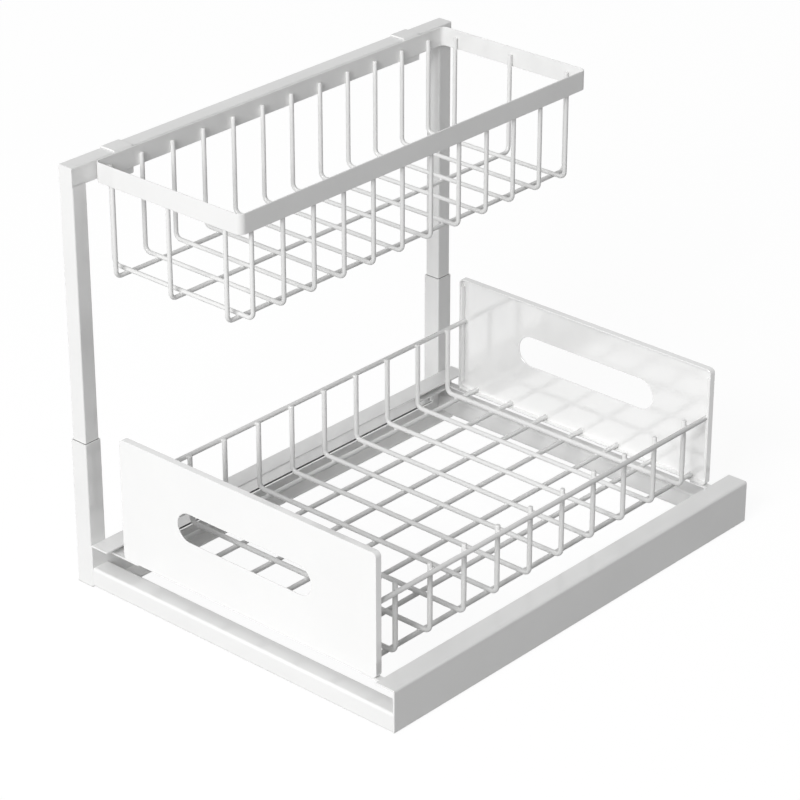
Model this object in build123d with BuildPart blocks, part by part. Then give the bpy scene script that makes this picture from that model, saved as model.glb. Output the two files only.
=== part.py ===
from build123d import *
import os

# Two-tier pull-out rack for a kitchen cabinet. A low frame of two channel rails and two cross
# bars carries a wire drawer on ball slides. Two posts outside the left rail carry a beam, and
# a narrow wire basket hangs on the beam by two hooks.
#
# Frame: millimetres, +Z up, origin at the bottom centre of the whole rack.
# -Y is the front, where the drawer comes out, and the posts stand on the -X side.

# --- Driving dimensions -----------------------------------------------------------------------

FRAME_DEPTH = 420
BASE_WIDTH = 314          # over the outer faces of the two rails
TOP_HEIGHT = 349          # top of the beam and of the upper basket's rim
CORNER = 1.2              # outer corner radius of the square tubes

PAD_HEIGHT = 1            # rubber under the rails, and the lip of the foot plugs
PAD_LENGTH = 30
PAD_WIDTH = 12

RAIL_TOP = 37.5
RAIL_FLANGE = 18
RAIL_GAUGE = 1.5
RAIL_BEND = 2

BAR_TOP = 17.5
BAR_DEPTH = 17
BAR_WALL = 1.2
BAR_ROUND = 2.4

SLEEVE_SIDE = 16
SLEEVE_WALL = 0.9
SLEEVE_TOP = 123.5
POST_SIDE = 14
POST_WALL = 1
POST_SOCKET = 45          # how deep the post stands in its sleeve
BEAM_HEIGHT = 16
PLUG_LENGTH = 12
PLUG_FIT = 0.1

DRAWER_FRONT = 10         # set back of the drawer behind the frame's front
DRAWER_DEPTH = 396
DRAWER_TRAVEL = 250
PANEL_WIDTH = 261
PANEL_BOTTOM = 31.5
PANEL_TOP = 134.5
PANEL_GAUGE = 1.2
PANEL_RETURN = 6
PANEL_CORNER = 4
SLOT_OFFSET = 1.4         # slot centre beside the panel's, to the left as one faces it
FRONT_SLOT_LENGTH = 137
FRONT_SLOT_HEIGHT = 24.5
FRONT_SLOT_CENTRE = 84.5
REAR_SLOT_LENGTH = 140
REAR_SLOT_HEIGHT = 26.5
REAR_SLOT_CENTRE = 88.5

WIRE = 4                  # drawer wire
MESH = 37.7               # pitch of the drawer mesh, both ways
CROSS_WIRES = 10
FLOOR_WIRES = 7
FLOOR_WIRE_Z = 35
SIDE_WIRE_X = 123.2       # drawer centre to the upright part of a cross wire
SIDE_WIRE_TOP = 97
LEFT_RIM_WIRE_Z = 95      # level with the tops of the uprights
RIGHT_RIM_WIRE_Z = 91.5
BEND = 5                  # centre-line radius of the cross wires' bends

SLIDE_START = 26          # behind the frame's front
SLIDE_LENGTH = 360
SLIDE_GAUGE = 1.2
SLIDE_BOTTOM = 18.6
SLIDE_HEIGHT = 16.8
SLIDE_DEPTH = 9
RUNNER_HEIGHT = 9.2
RUNNER_DEPTH = 6.6
RUNNER_FACE = 10.2        # rail web to the runner's outer face
CAGE_LENGTH = 110
CAGE_GAUGE = 0.5
CAGE_BACK = 2
CAGE_ARM = 5.5
BALL = 2.3
BALLS_IN_ROW = 4
BALL_LINE = 5.2           # rail web to the line of balls

BRACKET_GAUGE = 1.5
BRACKET_LENGTH = 41.5
BRACKET_STRIP = 5.5
BRACKET_UNDER = 15        # how far the bracket reaches under the panel
SCREW_SHANK = 3
SCREW_HEAD = 5.6
SCREW_HEAD_HEIGHT = 2
SCREW_PITCH = 12

RIM_WIDTH = 149.5
RIM_LENGTH = 385.5
RIM_GAUGE = 1.2
RIM_CORNER = 5.5
RIM_OFFSET = 4.25         # basket centre behind the beam's centre
RIM_GAP = 0.5             # rail face to the rim's outer face
THIN_WIRE = 3.5
BASKET_PITCH = 31.9
BASKET_CROSS_WIRES = 12
BASKET_MESH_OFFSET = 0.5  # middle of the row of cross wires behind the beam's centre
BASKET_FLOOR_PITCH = 57.7
BASKET_FLOOR_WIRES = 3
BASKET_FLOOR_SHIFT = -1.3 # the long wires sit a little to the beam's side of the middle
BASKET_FLOOR_Z = 260
BASKET_WIRE_TOP = 343
BASKET_BEND = 5
END_BEND = 5

HOOK_WIDTH = 18
HOOK_GAUGE = 1.2
HOOK_FOLD = 1.5           # inside radius of the folds over the beam
HOOK_SPREAD = 317.5
HOOK_OFFSET = 0.75        # middle of the two hooks behind the beam's centre
HOOK_OUT = 0.4            # how far the hook's lip stands out past the sleeves
HOOK_LIP = 9
HOOK_DROP = 5.3           # hook leg below the rim
HOOK_CORNER = 1
HOOK_REST = 0.1

# --- Places worked out from them --------------------------------------------------------------

overall_width = HOOK_OUT + SLEEVE_SIDE + BASE_WIDTH
rail_right = overall_width / 2
rail_left = rail_right - BASE_WIDTH
middle = (rail_left + rail_right) / 2
post_x = rail_left - SLEEVE_SIDE / 2
front = -FRAME_DEPTH / 2
rear = FRAME_DEPTH / 2
beam_bottom = TOP_HEIGHT - BEAM_HEIGHT
bar_height = BAR_TOP - PAD_HEIGHT

drawer_front = front + DRAWER_FRONT
drawer_rear = drawer_front + DRAWER_DEPTH
drawer_middle = (drawer_front + drawer_rear) / 2
cross_wire_z = FLOOR_WIRE_Z + WIRE

basket_middle = rail_left + RIM_GAP + RIM_WIDTH / 2
floor_middle = basket_middle + BASKET_FLOOR_SHIFT
basket_side = RIM_WIDTH / 2 - RIM_GAUGE - THIN_WIRE / 2
basket_end = RIM_LENGTH / 2 - RIM_GAUGE - THIN_WIRE / 2
basket_cross_z = BASKET_FLOOR_Z + THIN_WIRE

os.makedirs("parts", exist_ok=True)


def save(piece, label):
    piece.part.label = label
    export_step(piece.part, f"parts/{label}.step")


def inner_x(side, depth):
    """X of a point at the given depth inside the web of the left (-1) or right (+1) rail."""
    face = rail_left if side < 0 else rail_right
    return face - side * (RAIL_GAUGE + depth)


# --- Base frame -------------------------------------------------------------------------------

def make_rail(side, label):
    """Folded channel, open towards the drawer; its lower flange is notched for the bars."""
    face = rail_left if side < 0 else rail_right
    centre_x = face - side * RAIL_FLANGE / 2
    centre_z = (RAIL_TOP + PAD_HEIGHT) / 2
    height = RAIL_TOP - PAD_HEIGHT
    with BuildPart() as rail:
        with BuildSketch(Plane.XZ.offset(-rear)):
            with Locations((centre_x, centre_z)):
                Rectangle(RAIL_FLANGE, height)
            fillet(vertices().group_by(Axis.X)[-1 if side > 0 else 0], RAIL_BEND)
            with Locations((centre_x - side * RAIL_GAUGE, centre_z)):
                Rectangle(RAIL_FLANGE, height - 2 * RAIL_GAUGE, mode=Mode.SUBTRACT)
        extrude(amount=FRAME_DEPTH)
        notch = RAIL_FLANGE - RAIL_GAUGE
        for end in (-1, 1):
            with Locations((face - side * (RAIL_GAUGE + notch / 2), end * (rear - BAR_DEPTH / 2),
                            PAD_HEIGHT + RAIL_GAUGE / 2)):
                Box(notch, BAR_DEPTH, RAIL_GAUGE, mode=Mode.SUBTRACT)
    save(rail, label)


def make_cross_bar(end, label):
    """Rectangular tube from web to web, flush with the rails' ends."""
    length = BASE_WIDTH - 2 * RAIL_GAUGE
    with BuildPart() as bar:
        with BuildSketch(Plane.YZ.offset(rail_left + RAIL_GAUGE)):
            with Locations((end * (rear - BAR_DEPTH / 2), PAD_HEIGHT + bar_height / 2)):
                RectangleRounded(BAR_DEPTH, bar_height, BAR_ROUND)
                RectangleRounded(BAR_DEPTH - 2 * BAR_WALL, bar_height - 2 * BAR_WALL,
                                 BAR_ROUND - BAR_WALL, mode=Mode.SUBTRACT)
        extrude(amount=length)
    save(bar, label)


def make_floor_pads():
    """Thin rubber pads stuck under the rails, behind each notch."""
    inset = BAR_DEPTH + PAD_LENGTH / 2
    with BuildPart() as pads:
        for x in (rail_left + RAIL_FLANGE / 2, rail_right - RAIL_FLANGE / 2):
            with Locations((x, front + inset, 0), (x, rear - inset, 0)):
                Box(PAD_WIDTH, PAD_LENGTH, PAD_HEIGHT, align=(Align.CENTER, Align.CENTER, Align.MIN))
    save(pads, "floor_pads")


# --- Posts and beam ---------------------------------------------------------------------------

def make_post_sleeve(end, label):
    """Square tube beside the left rail that takes the post."""
    inside = SLEEVE_SIDE - 2 * SLEEVE_WALL
    with BuildPart() as sleeve:
        with BuildSketch(Plane.XY.offset(PAD_HEIGHT)):
            with Locations((post_x, end * (rear - SLEEVE_SIDE / 2))):
                RectangleRounded(SLEEVE_SIDE, SLEEVE_SIDE, CORNER)
                Rectangle(inside, inside, mode=Mode.SUBTRACT)
        extrude(amount=SLEEVE_TOP - PAD_HEIGHT)
    save(sleeve, label)


def make_foot_plug(end, label):
    """Plastic plug in the sleeve's lower end, with a lip as thick as the pads."""
    inside = SLEEVE_SIDE - 2 * SLEEVE_WALL - 2 * PLUG_FIT
    with BuildPart() as plug:
        with Locations((post_x, end * (rear - SLEEVE_SIDE / 2), 0)):
            Box(SLEEVE_SIDE, SLEEVE_SIDE, PAD_HEIGHT, align=(Align.CENTER, Align.CENTER, Align.MIN))
            Box(inside, inside, PAD_HEIGHT + PLUG_LENGTH, align=(Align.CENTER, Align.CENTER, Align.MIN))
    save(plug, label)


def make_post(end, label):
    """Upper tube, plugged into the sleeve and welded under the beam."""
    foot = SLEEVE_TOP - POST_SOCKET
    with BuildPart() as post:
        with BuildSketch(Plane.XY.offset(foot)):
            with Locations((post_x, end * (rear - SLEEVE_SIDE / 2))):
                RectangleRounded(POST_SIDE, POST_SIDE, CORNER)
                Rectangle(POST_SIDE - 2 * POST_WALL, POST_SIDE - 2 * POST_WALL, mode=Mode.SUBTRACT)
        extrude(amount=beam_bottom - foot)
    save(post, label)


def make_beam():
    """Top tube with closed ends, open below into the two posts."""
    length = FRAME_DEPTH - (SLEEVE_SIDE - POST_SIDE)
    bore = POST_SIDE - 2 * POST_WALL
    with BuildPart() as beam:
        with Locations((post_x, 0, beam_bottom + BEAM_HEIGHT / 2)):
            Box(POST_SIDE, length, BEAM_HEIGHT)
            fillet(edges().filter_by(Axis.Y), CORNER)
            Box(bore, length - 2 * POST_WALL, BEAM_HEIGHT - 2 * POST_WALL, mode=Mode.SUBTRACT)
        for end in (-1, 1):
            with Locations((post_x, end * (rear - SLEEVE_SIDE / 2), beam_bottom + POST_WALL / 2)):
                Box(bore, bore, POST_WALL, mode=Mode.SUBTRACT)
    save(beam, "beam")


# --- Ball slides ------------------------------------------------------------------------------

def channel_centre(side, depth, size):
    """X of the centre of something that starts at a depth from the web and is size deep."""
    return inner_x(side, depth + size / 2)


def make_slide_channel(side, label):
    """Fixed member: a shallow channel on the rail's web, closed at the back by a stop."""
    middle_z = SLIDE_BOTTOM + SLIDE_HEIGHT / 2
    start = front + SLIDE_START
    x = channel_centre(side, 0, SLIDE_DEPTH)
    with BuildPart() as channel:
        with BuildSketch(Plane.XZ.offset(-start - SLIDE_LENGTH)):
            with Locations((x, middle_z)):
                Rectangle(SLIDE_DEPTH, SLIDE_HEIGHT)
            with Locations((x - side * SLIDE_GAUGE, middle_z)):
                Rectangle(SLIDE_DEPTH, SLIDE_HEIGHT - 2 * SLIDE_GAUGE, mode=Mode.SUBTRACT)
        extrude(amount=SLIDE_LENGTH)
        with Locations((x, start + SLIDE_LENGTH - SLIDE_GAUGE / 2, middle_z)):
            Box(SLIDE_DEPTH, SLIDE_GAUGE, SLIDE_HEIGHT)
    save(channel, label)


def make_runner(side, label):
    """Moving member: a narrower channel that faces the web, carried between the balls."""
    middle_z = SLIDE_BOTTOM + SLIDE_HEIGHT / 2
    start = front + SLIDE_START
    length = SLIDE_LENGTH - 2 * SLIDE_GAUGE
    x = channel_centre(side, RUNNER_FACE - RUNNER_DEPTH, RUNNER_DEPTH)
    with BuildPart() as runner:
        with BuildSketch(Plane.XZ.offset(-start - length)):
            with Locations((x, middle_z)):
                Rectangle(RUNNER_DEPTH, RUNNER_HEIGHT)
            with Locations((x + side * SLIDE_GAUGE, middle_z)):
                Rectangle(RUNNER_DEPTH, RUNNER_HEIGHT - 2 * SLIDE_GAUGE, mode=Mode.SUBTRACT)
        extrude(amount=length)
        with Locations(*[Location((inner_x(side, RUNNER_FACE), y, middle_z), (0, 90, 0))
                         for y in screw_places()]):
            Hole(SCREW_SHANK / 2)
    save(runner, label)


def make_ball_cage(side, label):
    """Strip with two arms that keeps the balls apart; it rolls half as far as the drawer."""
    middle_z = SLIDE_BOTTOM + SLIDE_HEIGHT / 2
    ball_z = (SLIDE_HEIGHT / 2 - SLIDE_GAUGE + RUNNER_HEIGHT / 2) / 2
    centre_y = front + SLIDE_START + CAGE_LENGTH / 2 + DRAWER_TRAVEL / 2
    height = 2 * ball_z + CAGE_GAUGE
    x = channel_centre(side, CAGE_BACK, CAGE_ARM)
    with BuildPart() as cage:
        with Locations((x, centre_y, middle_z)):
            Box(CAGE_ARM, CAGE_LENGTH, height)
        with Locations((x - side * CAGE_GAUGE, centre_y, middle_z)):
            Box(CAGE_ARM, CAGE_LENGTH, height - 2 * CAGE_GAUGE, mode=Mode.SUBTRACT)
        pitch = CAGE_LENGTH / BALLS_IN_ROW
        for z in (middle_z - ball_z, middle_z + ball_z):
            with Locations((inner_x(side, BALL_LINE), centre_y, z)):
                with GridLocations(1, pitch, 1, BALLS_IN_ROW):
                    Sphere(BALL / 2)
    save(cage, label)


def screw_places():
    """Y of the four screws that hold a runner to its two brackets."""
    spots = []
    for end in (-1, 1):
        last = drawer_middle + end * (DRAWER_DEPTH / 2 - BRACKET_LENGTH + SCREW_HEAD / 2)
        spots += [last, last + end * SCREW_PITCH]
    return spots


# --- Drawer -----------------------------------------------------------------------------------

def make_drawer_panel(end, slot_length, slot_height, slot_centre, label):
    """Sheet pan with its folded edges turned inwards and a long round-ended handle slot."""
    outer = drawer_middle + end * DRAWER_DEPTH / 2
    centre_z = (PANEL_TOP + PANEL_BOTTOM) / 2
    height = PANEL_TOP - PANEL_BOTTOM
    with BuildPart() as panel:
        with BuildSketch(Plane.XZ.offset(-outer)):
            with Locations((middle, centre_z)):
                RectangleRounded(PANEL_WIDTH, height, PANEL_CORNER)
        extrude(amount=end * PANEL_RETURN)
        with BuildSketch(Plane.XZ.offset(-outer + end * PANEL_GAUGE)):
            with Locations((middle, centre_z)):
                RectangleRounded(PANEL_WIDTH - 2 * PANEL_GAUGE, height - 2 * PANEL_GAUGE,
                                 PANEL_CORNER - PANEL_GAUGE)
        extrude(amount=end * PANEL_RETURN, mode=Mode.SUBTRACT)
        with BuildSketch(Plane.XZ.offset(-outer)):
            with Locations((middle + end * SLOT_OFFSET, slot_centre)):
                SlotOverall(slot_length, slot_height)
        extrude(amount=end * PANEL_GAUGE, mode=Mode.SUBTRACT)
    save(panel, label)


def make_drawer_bracket(side, end, label):
    """Angle under the panel's folded edge that steps back along the runner."""
    outer = drawer_middle + end * (DRAWER_DEPTH / 2 - PANEL_GAUGE / 2)
    reach = (BASE_WIDTH - PANEL_WIDTH) / 2 - RAIL_GAUGE - RUNNER_FACE + BRACKET_UNDER
    hidden = RAIL_FLANGE - RAIL_GAUGE - RUNNER_FACE
    top = PANEL_BOTTOM
    leg = top - (SLIDE_BOTTOM + (SLIDE_HEIGHT - RUNNER_HEIGHT) / 2)
    leg_length = BRACKET_LENGTH - (SLIDE_START - DRAWER_FRONT)
    with BuildPart() as bracket:
        with Locations((channel_centre(side, RUNNER_FACE, reach), outer - end * BRACKET_STRIP / 2,
                        top - BRACKET_GAUGE / 2)):
            Box(reach, BRACKET_STRIP, BRACKET_GAUGE)
        with Locations((channel_centre(side, RUNNER_FACE, hidden), outer - end * BRACKET_LENGTH / 2,
                        top - BRACKET_GAUGE / 2)):
            Box(hidden, BRACKET_LENGTH, BRACKET_GAUGE)
        with Locations((channel_centre(side, RUNNER_FACE, BRACKET_GAUGE),
                        outer - end * (BRACKET_LENGTH - leg_length / 2), top - leg / 2)):
            Box(BRACKET_GAUGE, leg_length, leg)
        with Locations(*[Location((inner_x(side, RUNNER_FACE), y, SLIDE_BOTTOM + SLIDE_HEIGHT / 2),
                                  (0, 90, 0)) for y in screw_places()]):
            Hole(SCREW_SHANK / 2)
    save(bracket, label)


def make_bracket_screws():
    """Pan-head screws through the brackets into the runners."""
    head_start = RUNNER_FACE + BRACKET_GAUGE
    with BuildPart() as screws:
        for side in (-1, 1):
            plane = Plane(origin=(inner_x(side, head_start), 0, SLIDE_BOTTOM + SLIDE_HEIGHT / 2),
                          x_dir=(0, 1, 0), z_dir=(-side, 0, 0))
            places = [(y, 0) for y in screw_places()]
            with BuildSketch(plane):
                with Locations(*places):
                    Circle(SCREW_HEAD / 2)
            extrude(amount=SCREW_HEAD_HEIGHT)
            with BuildSketch(plane):
                with Locations(*places):
                    Circle(SCREW_SHANK / 2)
            extrude(amount=-(BRACKET_GAUGE + 2 * SLIDE_GAUGE))
    save(screws, "bracket_screws")


def make_cross_wire(x, y, half_width, bottom, top, bend, wire, label):
    """One wire bent to a U across a basket: two uprights and the run between them."""
    with BuildPart() as cross_wire:
        with BuildLine(Plane.XZ.offset(-y)):
            FilletPolyline((x - half_width, top), (x - half_width, bottom),
                           (x + half_width, bottom), (x + half_width, top), radius=bend)
        with BuildSketch(Plane(origin=(x - half_width, y, top), z_dir=(0, 0, -1))):
            Circle(wire / 2)
        sweep()
    save(cross_wire, label)


def make_drawer_wires():
    """Cross wires, the floor wires under them and one rim wire outside each row of uprights."""
    for i in range(CROSS_WIRES):
        y = drawer_middle + (i - (CROSS_WIRES - 1) / 2) * MESH
        make_cross_wire(middle, y, SIDE_WIRE_X, cross_wire_z, SIDE_WIRE_TOP, BEND, WIRE,
                        f"drawer_cross_wire_{i + 1}")
    length = DRAWER_DEPTH - 2 * PANEL_GAUGE
    with BuildPart() as floor_wires:
        with BuildSketch(Plane.XZ.offset(-drawer_rear + PANEL_GAUGE)):
            with Locations((middle, FLOOR_WIRE_Z)):
                with GridLocations(MESH, 1, FLOOR_WIRES, 1):
                    Circle(WIRE / 2)
        extrude(amount=length)
    save(floor_wires, "drawer_floor_wires")
    for side, height, place in ((-1, LEFT_RIM_WIRE_Z, "left"), (1, RIGHT_RIM_WIRE_Z, "right")):
        with BuildPart() as rim_wire:
            with BuildSketch(Plane.XZ.offset(-drawer_rear + PANEL_GAUGE)):
                with Locations((middle + side * (SIDE_WIRE_X + WIRE), height)):
                    Circle(WIRE / 2)
            extrude(amount=length)
        save(rim_wire, f"drawer_{place}_rim_wire")


# --- Upper basket -----------------------------------------------------------------------------

def make_basket_rim():
    """Flat band bent to a ring with round corners, standing on edge."""
    with BuildPart() as rim:
        with BuildSketch(Plane.XY.offset(beam_bottom)):
            with Locations((basket_middle, RIM_OFFSET)):
                RectangleRounded(RIM_WIDTH, RIM_LENGTH, RIM_CORNER)
                RectangleRounded(RIM_WIDTH - 2 * RIM_GAUGE, RIM_LENGTH - 2 * RIM_GAUGE,
                                 RIM_CORNER - RIM_GAUGE, mode=Mode.SUBTRACT)
        extrude(amount=BEAM_HEIGHT)
    save(rim, "basket_rim")


def make_basket_hook(end, label):
    """Strip folded over the beam, with its long leg welded between the beam and the rim."""
    outer_x = rail_left - SLEEVE_SIDE - HOOK_OUT
    inner_face = rail_left + RIM_GAP
    top = TOP_HEIGHT + HOOK_REST + HOOK_GAUGE
    width = inner_face - outer_x
    y = HOOK_OFFSET + end * HOOK_SPREAD / 2
    leg = top - (beam_bottom - HOOK_DROP)
    with BuildPart() as hook:
        with BuildSketch(Plane.XZ.offset(-y - HOOK_WIDTH / 2)):
            with Locations((outer_x, top)):
                Rectangle(width, HOOK_GAUGE, align=(Align.MIN, Align.MAX))
                Rectangle(HOOK_GAUGE, HOOK_LIP, align=(Align.MIN, Align.MAX))
            with Locations((inner_face, top)):
                Rectangle(HOOK_GAUGE, leg, align=(Align.MAX, Align.MAX))
            fillet(vertices().group_by(Axis.Y)[-2], HOOK_FOLD)
            fillet(vertices().group_by(Axis.Y)[-1], HOOK_FOLD + HOOK_GAUGE)
        extrude(amount=HOOK_WIDTH)
        fillet(edges().filter_by(Axis.X).group_by(Axis.Z)[0], HOOK_CORNER)
    save(hook, label)


def make_basket_wires():
    """Cross wires inside the rim and long wires under them that turn up at both ends."""
    for i in range(BASKET_CROSS_WIRES):
        y = BASKET_MESH_OFFSET + (i - (BASKET_CROSS_WIRES - 1) / 2) * BASKET_PITCH
        make_cross_wire(basket_middle, y, basket_side, basket_cross_z, BASKET_WIRE_TOP, BASKET_BEND,
                        THIN_WIRE, f"basket_cross_wire_{i + 1}")
    for j in range(BASKET_FLOOR_WIRES):
        x = floor_middle + (j - (BASKET_FLOOR_WIRES - 1) / 2) * BASKET_FLOOR_PITCH
        front_y = RIM_OFFSET - basket_end
        rear_y = RIM_OFFSET + basket_end
        with BuildPart() as long_wire:
            with BuildLine(Plane.YZ.offset(x)):
                FilletPolyline((front_y, BASKET_WIRE_TOP), (front_y, BASKET_FLOOR_Z),
                               (rear_y, BASKET_FLOOR_Z), (rear_y, BASKET_WIRE_TOP), radius=END_BEND)
            with BuildSketch(Plane(origin=(x, front_y, BASKET_WIRE_TOP), z_dir=(0, 0, -1))):
                Circle(THIN_WIRE / 2)
            sweep()
        save(long_wire, f"basket_long_wire_{j + 1}")


make_rail(-1, "left_rail")
make_rail(1, "right_rail")
make_cross_bar(-1, "front_cross_bar")
make_cross_bar(1, "rear_cross_bar")
make_floor_pads()
for end, place in ((-1, "front"), (1, "rear")):
    make_post_sleeve(end, f"{place}_post_sleeve")
    make_foot_plug(end, f"{place}_foot_plug")
    make_post(end, f"{place}_post")
    make_basket_hook(end, f"{place}_basket_hook")
    make_drawer_bracket(-1, end, f"{place}_left_bracket")
    make_drawer_bracket(1, end, f"{place}_right_bracket")
make_beam()
for side, place in ((-1, "left"), (1, "right")):
    make_slide_channel(side, f"{place}_slide_channel")
    make_ball_cage(side, f"{place}_ball_cage")
    make_runner(side, f"{place}_slide_runner")
make_bracket_screws()
make_drawer_panel(-1, FRONT_SLOT_LENGTH, FRONT_SLOT_HEIGHT, FRONT_SLOT_CENTRE, "drawer_front_panel")
make_drawer_panel(1, REAR_SLOT_LENGTH, REAR_SLOT_HEIGHT, REAR_SLOT_CENTRE, "drawer_rear_panel")
make_drawer_wires()
make_basket_rim()
make_basket_wires()
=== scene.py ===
import bpy
import bmesh
from math import pi, radians
from mathutils import Matrix, Vector


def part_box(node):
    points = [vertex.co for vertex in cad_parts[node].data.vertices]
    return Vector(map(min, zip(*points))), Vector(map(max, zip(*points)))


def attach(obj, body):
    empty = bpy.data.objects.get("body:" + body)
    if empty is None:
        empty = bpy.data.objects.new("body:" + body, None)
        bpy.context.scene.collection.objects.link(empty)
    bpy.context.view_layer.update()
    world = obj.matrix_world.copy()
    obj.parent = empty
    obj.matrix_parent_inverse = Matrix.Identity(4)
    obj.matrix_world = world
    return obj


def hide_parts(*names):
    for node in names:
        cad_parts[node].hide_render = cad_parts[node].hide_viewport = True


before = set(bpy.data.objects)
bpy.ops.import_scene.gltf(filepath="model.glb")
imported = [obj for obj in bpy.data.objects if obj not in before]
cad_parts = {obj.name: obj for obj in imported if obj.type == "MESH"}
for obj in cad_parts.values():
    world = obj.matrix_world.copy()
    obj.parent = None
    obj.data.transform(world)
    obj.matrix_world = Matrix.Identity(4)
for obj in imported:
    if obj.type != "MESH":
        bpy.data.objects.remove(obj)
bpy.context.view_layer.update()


# --- Channel rails ------------------------------------------------------------------------------
# Two strips of 1.5 mm steel folded to channels that open towards the drawer, with sheared edges
# rounded off before white powder coat is sprayed and baked on.

def blank(name):
    """An empty mesh object in the scene, for a bmesh to fill."""
    piece = bpy.data.objects.new(name, bpy.data.meshes.new(name))
    bpy.context.scene.collection.objects.link(piece)
    return piece


def finish_piece(bm, name, body, material, stands_for, even=True):
    """Turn a bmesh into a smooth-shaded piece that rides on its body."""
    piece = blank(name)
    for face in bm.faces:
        face.smooth = True
    bm.to_mesh(piece.data)
    bm.free()
    piece.data.materials.append(material)
    if even:
        shading = piece.modifiers.new("even_shading", "WEIGHTED_NORMAL")
        shading.weight = 100
        shading.keep_sharp = True
    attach(piece, body)
    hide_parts(*stands_for)


def sheared_solid(node, radius, steps=2, least_angle=30):
    """The node's own solid with its faces merged and its sharp edges rounded."""
    bm = bmesh.new()
    bm.from_mesh(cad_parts[node].data)
    bmesh.ops.remove_doubles(bm, verts=bm.verts, dist=1e-6)
    bmesh.ops.dissolve_limit(bm, angle_limit=radians(0.5), verts=bm.verts, edges=bm.edges)
    sharp = [e for e in bm.edges
             if len(e.link_faces) == 2 and abs(e.calc_face_angle(0)) > radians(least_angle)]
    bmesh.ops.bevel(bm, geom=sharp, offset=radius, segments=steps, profile=0.5,
                    affect="EDGES", material=-1, clamp_overlap=True)
    return bm


def cloudy_tone(nodes, links, place, shader, colour, shade, scale, detail, low, high):
    """Drift the base colour slowly between two close tones; low and high set the ramp's ends."""
    drift = nodes.new("ShaderNodeTexNoise")
    drift.inputs["Scale"].default_value = scale
    drift.inputs["Detail"].default_value = detail
    links.new(place.outputs["Object"], drift.inputs["Vector"])
    tone = nodes.new("ShaderNodeValToRGB")
    tone.color_ramp.elements[0].position = low
    tone.color_ramp.elements[0].color = (*shade, 1)
    tone.color_ramp.elements[1].position = high
    tone.color_ramp.elements[1].color = (*colour, 1)
    links.new(drift.outputs["Fac"], tone.inputs["Fac"])
    links.new(tone.outputs["Color"], shader.inputs["Base Color"])


def uneven_gloss(nodes, links, grain, shader, low, high):
    """Let a noise texture move the roughness between two values."""
    rough = nodes.new("ShaderNodeMapRange")
    rough.inputs["To Min"].default_value = low
    rough.inputs["To Max"].default_value = high
    links.new(grain.outputs["Fac"], rough.inputs["Value"])
    links.new(rough.outputs["Result"], shader.inputs["Roughness"])


def fine_relief(nodes, links, grain, shader, strength, depth):
    """Raise a noise texture as a shallow bump, and return the bump node."""
    bump = nodes.new("ShaderNodeBump")
    bump.inputs["Strength"].default_value = strength
    bump.inputs["Distance"].default_value = depth
    links.new(grain.outputs["Fac"], bump.inputs["Height"])
    links.new(bump.outputs["Normal"], shader.inputs["Normal"])
    return bump


def powder_coat(name, colour, shade, peel=0.10, film=1.0):
    """Glossy powder coat: faint orange peel, slow drifts of tone and a clear top film."""
    mat = bpy.data.materials.new(name)
    mat.use_nodes = True
    nodes, links = mat.node_tree.nodes, mat.node_tree.links
    shader = nodes["Principled BSDF"]
    place = nodes.new("ShaderNodeTexCoord")
    cloudy_tone(nodes, links, place, shader, colour, shade, 14, 4, 0.35, 0.65)

    patches = nodes.new("ShaderNodeTexNoise")
    patches.inputs["Scale"].default_value = 90
    patches.inputs["Detail"].default_value = 5
    links.new(place.outputs["Object"], patches.inputs["Vector"])
    uneven_gloss(nodes, links, patches, shader, 0.40, 0.54)

    orange = nodes.new("ShaderNodeTexNoise")
    orange.inputs["Scale"].default_value = 620
    orange.inputs["Detail"].default_value = 2
    links.new(place.outputs["Object"], orange.inputs["Vector"])
    bump = fine_relief(nodes, links, orange, shader, peel, 0.0003)
    links.new(bump.outputs["Normal"], shader.inputs["Coat Normal"])
    shader.inputs["Specular IOR Level"].default_value = 0.2
    shader.inputs["Coat Weight"].default_value = film
    shader.inputs["Coat Roughness"].default_value = 0.10
    shader.inputs["Coat IOR"].default_value = 2.6
    return mat


white, white_shade = (0.90, 0.90, 0.895), (0.87, 0.87, 0.865)
white_coat = powder_coat("white_powder_coat", white, white_shade, film=0.4)
rail_edge = 0.0004

for side in ("left", "right"):
    rail = sheared_solid(f"{side}_rail", rail_edge)
    finish_piece(rail, f"rail_{side}", "frame", white_coat, [f"{side}_rail"])


# --- Cross bars ---------------------------------------------------------------------------------
# Rectangular steel tubes cut square and welded between the rail webs at the front and the back,
# so that rails and bars close the frame before it is coated.

tube_edge = 0.0003

for end in ("front", "rear"):
    bar = sheared_solid(f"{end}_cross_bar", tube_edge)
    finish_piece(bar, f"cross_bar_{end}", "frame", white_coat, [f"{end}_cross_bar"])


# --- Floor pads and foot plugs ------------------------------------------------------------------
# Die-cut rubber pads stuck under the rails, and moulded plastic plugs pushed into the open lower
# ends of the sleeves.

def moulded(name, colour, shade, low, high, grain_scale, strength):
    """Moulded rubber or plastic with a fine matt grain and a slightly uneven tone."""
    mat = bpy.data.materials.new(name)
    mat.use_nodes = True
    nodes, links = mat.node_tree.nodes, mat.node_tree.links
    shader = nodes["Principled BSDF"]
    place = nodes.new("ShaderNodeTexCoord")
    cloudy_tone(nodes, links, place, shader, colour, shade, 60, 4, 0.3, 0.7)
    grain = nodes.new("ShaderNodeTexNoise")
    grain.inputs["Scale"].default_value = grain_scale
    grain.inputs["Detail"].default_value = 3
    links.new(place.outputs["Object"], grain.inputs["Vector"])
    uneven_gloss(nodes, links, grain, shader, low, high)
    fine_relief(nodes, links, grain, shader, strength, 0.0002)
    return mat


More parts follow.
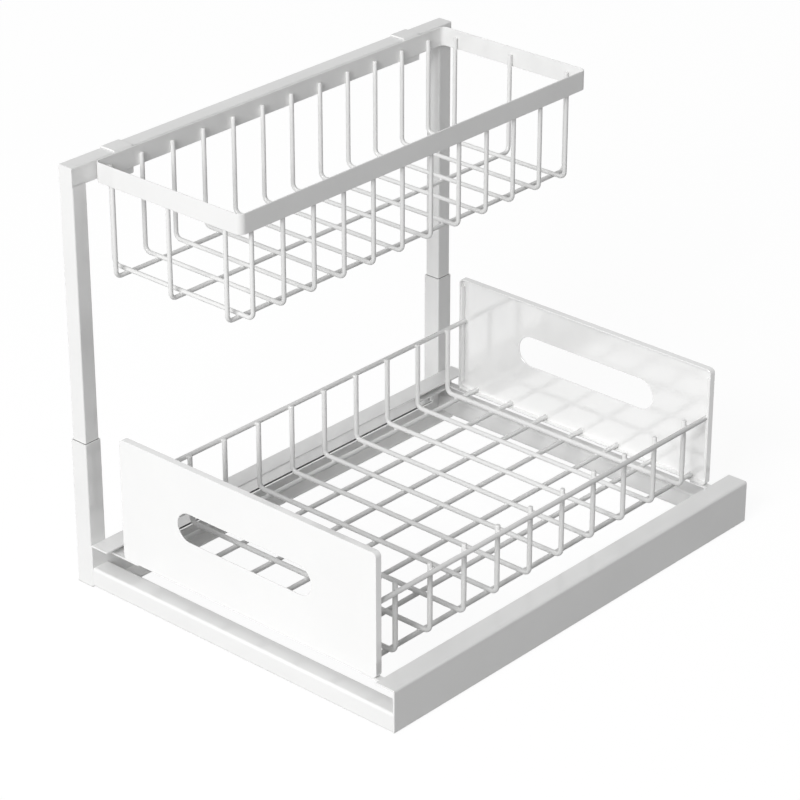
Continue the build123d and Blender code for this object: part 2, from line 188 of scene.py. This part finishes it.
pad_rubber = moulded("pad_rubber", (0.30, 0.30, 0.31), (0.24, 0.24, 0.25), 0.75, 0.9, 900, 0.3)
plug_plastic = moulded("plug_plastic", (0.74, 0.74, 0.73), (0.70, 0.70, 0.69), 0.5, 0.65, 700, 0.15)
pad_edge, plug_edge = 0.0002, 0.0003

finish_piece(sheared_solid("floor_pads", pad_edge), "rubber_pads", "frame",
             pad_rubber, ["floor_pads"])
for end in ("front", "rear"):
    plug = sheared_solid(f"{end}_foot_plug", plug_edge)
    finish_piece(plug, f"foot_plug_{end}", "frame", plug_plastic,
                 [f"{end}_foot_plug"])


# --- Posts, sleeves and beam --------------------------------------------------------------------
# Thin square tube. The sleeves are welded to the left rail, the upper tubes push into them and
# are welded under the beam. A fine dark ring is painted on each post where it enters its sleeve:
# painted shade for the gap at the joint.

joint_height, half_line = 0.12375, 0.0003
post_coat = powder_coat("post_powder_coat", white, white_shade, film=0.4)
nodes, links = post_coat.node_tree.nodes, post_coat.node_tree.links
place = nodes.new("ShaderNodeTexCoord")
height = nodes.new("ShaderNodeSeparateXYZ")
links.new(place.outputs["Object"], height.inputs["Vector"])
# Painted shade: a thin dark ring in the posts' colour at the sleeves' rim height, standing for the
# shadow in the joint's gap.
ring = nodes.new("ShaderNodeMath")
ring.operation = "COMPARE"
ring.inputs[1].default_value = joint_height
ring.inputs[2].default_value = half_line
links.new(height.outputs["Z"], ring.inputs[0])
painted_joint_shade = nodes.new("ShaderNodeMixRGB")
painted_joint_shade.inputs["Color2"].default_value = (0.10, 0.10, 0.10, 1)
links.new(ring.outputs["Value"], painted_joint_shade.inputs["Fac"])
links.new(nodes["Color Ramp"].outputs["Color"], painted_joint_shade.inputs["Color1"])
links.new(painted_joint_shade.outputs["Color"], nodes["Principled BSDF"].inputs["Base Color"])

into_beam = 0.0015        # the posts' tops go up into the beam
top_zone = 0.001
beam_proud = 0.00006      # the beam's ends stand past the posts' faces
beam_end_zone = 0.2085

for end in ("front", "rear"):
    sleeve = sheared_solid(f"{end}_post_sleeve", tube_edge)
    finish_piece(sleeve, f"sleeve_{end}", "frame", white_coat,
                 [f"{end}_post_sleeve"])
    post = sheared_solid(f"{end}_post", tube_edge)
    top = max(v.co.z for v in post.verts)
    raised = [v for v in post.verts if v.co.z > top - top_zone]
    bmesh.ops.translate(post, vec=(0, 0, into_beam), verts=raised)
    finish_piece(post, f"post_{end}", "frame", post_coat, [f"{end}_post"])
beam = sheared_solid("beam", tube_edge)
for way in (-1, 1):
    end_verts = [v for v in beam.verts if v.co.y * way > beam_end_zone]
    bmesh.ops.translate(beam, vec=(0, way * beam_proud, 0), verts=end_verts)
finish_piece(beam, "top_beam", "frame", white_coat, ["beam"])


# --- Ball slides --------------------------------------------------------------------------------
# Roll-formed zinc-plated channels with hardened balls held apart by thin pressed cages. The
# runners between the balls carry the drawer.

def plated(name, colour, shade, low, high, along):
    """Zinc plate over rolled strip: fine lines along the strip and a faint cloudy tint."""
    mat = bpy.data.materials.new(name)
    mat.use_nodes = True
    nodes, links = mat.node_tree.nodes, mat.node_tree.links
    shader = nodes["Principled BSDF"]
    place = nodes.new("ShaderNodeTexCoord")
    cloudy_tone(nodes, links, place, shader, colour, shade, 45, 5, 0.3, 0.7)
    stretch = nodes.new("ShaderNodeMapping")
    stretch.inputs["Scale"].default_value = along
    links.new(place.outputs["Object"], stretch.inputs["Vector"])
    lines = nodes.new("ShaderNodeTexNoise")
    lines.inputs["Scale"].default_value = 1
    lines.inputs["Detail"].default_value = 4
    links.new(stretch.outputs["Vector"], lines.inputs["Vector"])
    uneven_gloss(nodes, links, lines, shader, low, high)
    fine_relief(nodes, links, lines, shader, 0.15, 0.0001)
    shader.inputs["Metallic"].default_value = 1
    return mat


rolled, pressed = (2500, 30, 2500), (1500, 1500, 1500)
# One zinc plating in two shades. The darker copy, on the runners and screws, is painted shade for
# their place under the rails' flanges. The channels' copy is painted lighter.
zinc = plated("zinc_plate", (0.66, 0.66, 0.655), (0.58, 0.58, 0.58), 0.34, 0.50, rolled)
lighter_zinc = plated("bright_zinc_plate", (0.90, 0.90, 0.89), (0.84, 0.84, 0.84), 0.35, 0.5,
                     rolled)
cage_steel = plated("cage_steel", (0.72, 0.72, 0.71), (0.64, 0.64, 0.64), 0.15, 0.3, pressed)
strip_edge, cage_edge = 0.0002, 0.00008

for side in ("left", "right"):
    channel = sheared_solid(f"{side}_slide_channel", strip_edge)
    finish_piece(channel, f"slide_channel_{side}", "frame", lighter_zinc,
                 [f"{side}_slide_channel"])
    cage = sheared_solid(f"{side}_ball_cage", cage_edge, least_angle=50)
    finish_piece(cage, f"ball_cage_{side}", f"{side}_cage", cage_steel,
                 [f"{side}_ball_cage"])
    runner = sheared_solid(f"{side}_slide_runner", strip_edge)
    finish_piece(runner, f"slide_runner_{side}", "drawer", zinc,
                 [f"{side}_slide_runner"])


# --- Drawer panels ------------------------------------------------------------------------------
# Pressed from 1.2 mm sheet: all four edges are folded inwards round a tight bend, the upright
# ones are hemmed, and the round-ended handle slot is punched out. Coated inside and out.

# Painted light: the panels' coat is a lighter copy of the frame's white coat, so the panels read
# brighter than the frame.
lighter_panel_coat = powder_coat("panel_powder_coat", (0.95, 0.95, 0.945), (0.93, 0.93, 0.925))
panel_edge = 0.0004
hem_size = (0.0016, 0.0046, 0.088)
hem_inset = 0.0021        # panel's side to the middle of the hem
hem_from_lip = 0.0024     # folded edge's lip to the middle of the hem
hem_edge = 0.0006

for end in ("front", "rear"):
    panel = sheared_solid(f"drawer_{end}_panel", panel_edge, steps=3)
    low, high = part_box(f"drawer_{end}_panel")
    hem_y = high.y - hem_from_lip if end == "front" else low.y + hem_from_lip
    for edge, inward in ((low.x, 1), (high.x, -1)):
        hem = bmesh.ops.create_cube(panel, size=1)["verts"]
        bmesh.ops.scale(panel, vec=hem_size, verts=hem)
        bmesh.ops.translate(panel, verts=hem,
                            vec=(edge + inward * hem_inset, hem_y, (low.z + high.z) / 2))
        bmesh.ops.bevel(panel, geom=list({e for v in hem for e in v.link_edges}),
                        offset=hem_edge, segments=3, profile=0.5, affect="EDGES", material=-1)
    finish_piece(panel, f"panel_{end}", "drawer", lighter_panel_coat,
                 [f"drawer_{end}_panel"])


# --- Drawer brackets and screws -----------------------------------------------------------------
# Small angles folded from 1.5 mm steel under the panels' lower edges. Two pan screws hold each one
# to its runner.

angle_edge, screw_edge = 0.0003, 0.0005

for end in ("front", "rear"):
    for side in ("left", "right"):
        angle = sheared_solid(f"{end}_{side}_bracket", angle_edge)
        finish_piece(angle, f"angle_{end}_{side}", "drawer", white_coat,
                     [f"{end}_{side}_bracket"])
finish_piece(sheared_solid("bracket_screws", screw_edge, steps=3), "pan_screws", "drawer",
             zinc, ["bracket_screws"])


# --- Drawer wires -------------------------------------------------------------------------------
# 4 mm steel wire cut and bent on a former, spot welded where wires cross and coated together. The
# straight wires end at the panels.

def bent_wire(corners, bend, wire, sides=16, turns=8):
    """Round wire along straight runs, each corner spun round a bend radius, with domed ends."""
    points = [Vector(p) for p in corners]
    ahead = (points[1] - points[0]).normalized()
    bm = bmesh.new()
    ring = bmesh.ops.create_circle(bm, segments=sides, radius=wire / 2)["verts"]
    lay = ahead.to_track_quat("Z", "Y").to_matrix().to_4x4()
    bmesh.ops.transform(bm, matrix=Matrix.Translation(points[0]) @ lay, verts=ring)
    first = list(ring)
    here = points[0].copy()

    def ring_edges(verts):
        chosen = set(verts)
        return [e for e in bm.edges if e.verts[0] in chosen and e.verts[1] in chosen]

    def drawn_on(verts, step):
        out = bmesh.ops.extrude_edge_only(bm, edges=ring_edges(verts))["geom"]
        new = [g for g in out if isinstance(g, bmesh.types.BMVert)]
        bmesh.ops.translate(bm, vec=step, verts=new)
        return new

    for i in range(1, len(points) - 1):
        ahead = (points[i] - points[i - 1]).normalized()
        after = (points[i + 1] - points[i]).normalized()
        target = points[i] - ahead * bend
        ring = drawn_on(ring, target - here)
        centre = target + after * bend
        axis = ahead.cross(after).normalized()
        spun = bmesh.ops.spin(bm, geom=ring + ring_edges(ring), cent=centre, axis=axis,
                              angle=pi / 2, steps=turns, use_duplicate=False)["geom_last"]
        ring = [g for g in spun if isinstance(g, bmesh.types.BMVert)]
        here = points[i] + after * bend
    ring = drawn_on(ring, points[-1] - here)

    start = -0.2
    dome = ((-0.09, 0.92), (-0.03, 0.76), (0.0, 0.5))     # along and across, shares of the wire
    for verts, outwards, end in ((ring, (points[-1] - points[-2]).normalized(), points[-1]),
                                 (first, (points[0] - points[1]).normalized(), points[0])):
        loop = verts
        bmesh.ops.translate(bm, vec=outwards * wire * start, verts=loop)
        reached, size = start, 1.0
        for step, wide in dome:
            loop = drawn_on(loop, outwards * wire * (step - reached))
            bmesh.ops.scale(bm, vec=Vector((wide / size,) * 3),
                            space=Matrix.Translation(-(end + outwards * wire * step)), verts=loop)
            reached, size = step, wide
        bmesh.ops.contextual_create(bm, geom=ring_edges(loop))
    bmesh.ops.recalc_face_normals(bm, faces=bm.faces)
    return bm


def weld_bead(bm, place, facing, spread, depth):
    """A flattened bead of weld metal: a nugget between two wires or a ring round a wire's end."""
    turn = Vector(facing).to_track_quat("Z", "Y").to_matrix().to_4x4()
    shape = Matrix.Diagonal((spread, spread, depth, 1))
    bmesh.ops.create_icosphere(bm, subdivisions=2, radius=1,
                               matrix=Matrix.Translation(place) @ turn @ shape)


def straight_wire(bm, x, z, near, far, wire):
    """Add a straight wire along Y whose ends sink into two panels behind rings of weld."""
    sunk = 0.0008
    run = bent_wire([(x, near - sunk, z), (x, far + sunk, z)], 0, wire)
    spare = bpy.data.meshes.new("spare")
    run.to_mesh(spare)
    run.free()
    bm.from_mesh(spare)
    bpy.data.meshes.remove(spare)
    for y in (near, far):
        weld_bead(bm, (x, y, z), (0, 1, 0), wire * 0.66, wire * 0.16)


def cross_wires(stood_for, name, body, wire, bend, coat):
    """A row of wires, each bent to a U across the basket; returns their places along Y."""
    places = []
    for i, node in enumerate(stood_for):
        low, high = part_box(node)
        left = low.x + wire / 2
        right = high.x - wire / 2
        y = (low.y + high.y) / 2
        bottom = low.z + wire / 2
        corners = [(left, y, high.z), (left, y, bottom), (right, y, bottom), (right, y, high.z)]
        finish_piece(bent_wire(corners, bend, wire), f"{name}_{i + 1}", body,
                     coat, [node], even=False)
        places.append(y)
    return places


# Painted shade: the wires' coat is a darker copy of the frame's white coat, for the shading on the
# thin round wires.
darker_wire_coat = powder_coat("wire_powder_coat", (0.84, 0.84, 0.835), (0.81, 0.81, 0.805), 0.06, 0.1)
bend = 0.005
drawer_wire = 0.004
mesh_pitch = 0.0377
floor_z = 0.035

drawer_rows = cross_wires([f"drawer_cross_wire_{i + 1}" for i in range(10)], "cross_wire",
                          "drawer", drawer_wire, bend, darker_wire_coat)

low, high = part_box("drawer_floor_wires")
bm = bmesh.new()
for k in range(7):
    x = low.x + drawer_wire / 2 + mesh_pitch * k
    straight_wire(bm, x, floor_z, low.y, high.y, drawer_wire)
    for y in drawer_rows:
        weld_bead(bm, (x, y, floor_z + drawer_wire / 2), (0, 0, 1), drawer_wire * 0.5,
                  drawer_wire * 0.2)
finish_piece(bm, "floor_wires", "drawer", darker_wire_coat, ["drawer_floor_wires"],
             even=False)

for side, inward in (("left", 1), ("right", -1)):
    low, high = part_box(f"drawer_{side}_rim_wire")
    x, z = (low.x + high.x) / 2, (low.z + high.z) / 2
    touch = x + inward * drawer_wire / 2
    bm = bmesh.new()
    straight_wire(bm, x, z, low.y, high.y, drawer_wire)
    for y in drawer_rows:
        weld_bead(bm, (touch, y, z), (1, 0, 0), drawer_wire * 0.45, drawer_wire * 0.18)
    finish_piece(bm, f"rim_wire_{side}", "drawer", darker_wire_coat,
                 [f"drawer_{side}_rim_wire"], even=False)


# --- Upper basket rim and hooks -----------------------------------------------------------------
# A 16 mm flat band bent to a ring with round corners and butt welded, and two strips folded over
# the beam that carry it.

band_edge, hook_edge = 0.0004, 0.0003

finish_piece(sheared_solid("basket_rim", band_edge), "rim_band", "upper_basket",
             white_coat, ["basket_rim"])
for end in ("front", "rear"):
    hook = sheared_solid(f"{end}_basket_hook", hook_edge)
    finish_piece(hook, f"hook_{end}", "upper_basket", white_coat,
                 [f"{end}_basket_hook"])


# --- Upper basket wires -------------------------------------------------------------------------
# 3.5 mm wire: cross wires bent to a U inside the band, on long wires that turn up at both ends.
# They are spot welded to each other and to the band.

thin_wire = 0.0035
basket_rows = cross_wires([f"basket_cross_wire_{i + 1}" for i in range(12)], "basket_wire",
                          "upper_basket", thin_wire, bend, darker_wire_coat)
for i in range(3):
    low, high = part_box(f"basket_long_wire_{i + 1}")
    x = (low.x + high.x) / 2
    near = low.y + thin_wire / 2
    far = high.y - thin_wire / 2
    bottom = low.z + thin_wire / 2
    bm = bent_wire([(x, near, high.z), (x, near, bottom), (x, far, bottom), (x, far, high.z)],
                   bend, thin_wire)
    for y in basket_rows:
        weld_bead(bm, (x, y, bottom + thin_wire / 2), (0, 0, 1), thin_wire * 0.5, thin_wire * 0.2)
    finish_piece(bm, f"long_wire_{i + 1}", "upper_basket", darker_wire_coat,
                 [f"basket_long_wire_{i + 1}"], even=False)


# --- Studio -------------------------------------------------------------------------------------
# A white sweep under the rack, one broad soft light in front and a pale surround. The camera
# stands where the photograph's did.

def split_rays(nodes, links, ordinary, bright, output):
    """Camera, transmission and glossy rays meet the bright shader, all others the ordinary one."""
    rays = nodes.new("ShaderNodeLightPath")
    direct = nodes.new("ShaderNodeMath")
    direct.operation = "MAXIMUM"
    links.new(rays.outputs["Is Camera Ray"], direct.inputs[0])
    links.new(rays.outputs["Is Transmission Ray"], direct.inputs[1])
    either = nodes.new("ShaderNodeMath")
    either.operation = "MAXIMUM"
    links.new(direct.outputs["Value"], either.inputs[0])
    links.new(rays.outputs["Is Glossy Ray"], either.inputs[1])
    choose = nodes.new("ShaderNodeMixShader")
    links.new(either.outputs["Value"], choose.inputs["Fac"])
    links.new(ordinary, choose.inputs[1])
    links.new(bright, choose.inputs[2])
    links.new(choose.outputs["Shader"], output)


floor = blank("studio_floor")
bm = bmesh.new()
bmesh.ops.create_grid(bm, x_segments=1, y_segments=1, size=6)
bm.to_mesh(floor.data)
bm.free()
paper = bpy.data.materials.new("studio_paper")
paper.use_nodes = True
nodes, links = paper.node_tree.nodes, paper.node_tree.links
plain = nodes["Principled BSDF"]
plain.inputs["Base Color"].default_value = (0.36, 0.36, 0.36, 1)
plain.inputs["Roughness"].default_value = 0.9
plain.inputs["Specular IOR Level"].default_value = 0.1
seen = nodes.new("ShaderNodeBsdfDiffuse")
seen.inputs["Color"].default_value = (0.10, 0.10, 0.10, 1)
glow = nodes.new("ShaderNodeEmission")
glow.inputs["Color"].default_value = (1, 1, 1, 1)
glow.inputs["Strength"].default_value = 0.93
both = nodes.new("ShaderNodeAddShader")
links.new(seen.outputs["BSDF"], both.inputs[0])
links.new(glow.outputs["Emission"], both.inputs[1])
split_rays(nodes, links, plain.outputs["BSDF"], both.outputs["Shader"],
           nodes["Material Output"].inputs["Surface"])
floor.data.materials.append(paper)

world = bpy.data.worlds.new("studio_surround")
bpy.context.scene.world = world
world.use_nodes = True
nodes, links = world.node_tree.nodes, world.node_tree.links
soft = nodes["Background"]
soft.inputs["Color"].default_value = (1, 1, 1, 1)
heading = nodes.new("ShaderNodeTexCoord")
towards = nodes.new("ShaderNodeVectorMath")
towards.operation = "DOT_PRODUCT"
towards.inputs[1].default_value = (-0.36, -0.92, 0.0)
links.new(heading.outputs["Generated"], towards.inputs[0])
fade = nodes.new("ShaderNodeMapRange")
fade.inputs["From Min"].default_value = -1
fade.inputs["From Max"].default_value = 1
fade.inputs["To Min"].default_value = 0.08
fade.inputs["To Max"].default_value = 0.64
links.new(towards.outputs["Value"], fade.inputs["Value"])
links.new(fade.outputs["Result"], soft.inputs["Strength"])
bright = nodes.new("ShaderNodeBackground")
bright.inputs["Color"].default_value = (1, 1, 1, 1)
bright.inputs["Strength"].default_value = 1
split_rays(nodes, links, soft.outputs["Background"], bright.outputs["Background"],
           nodes["World Output"].inputs["Surface"])

light_place = Vector((1.25, -5.75, 3.5))
light_target = Vector((0, 0, 0.15))
soft_box = bpy.data.lights.new("front_light", "AREA")
soft_box.shape = "SQUARE"
soft_box.size = 3.0
soft_box.energy = 320
front_light = bpy.data.objects.new("front_light", soft_box)
front_light.location = light_place
front_light.rotation_euler = (light_target - light_place).to_track_quat("-Z", "Y").to_euler()
bpy.context.scene.collection.objects.link(front_light)

view_direction = Vector((-0.5964, 0.6639, -0.4513))
camera = bpy.data.objects.new("camera", bpy.data.cameras.new("camera"))
camera.location = (1.4116, -1.5915, 1.2093)
camera.rotation_euler = view_direction.to_track_quat("-Z", "Y").to_euler()
camera.data.lens = 139.3
camera.data.sensor_width = 36
bpy.context.scene.collection.objects.link(camera)
bpy.context.scene.camera = camera
bpy.context.scene.view_settings.view_transform = "Standard"
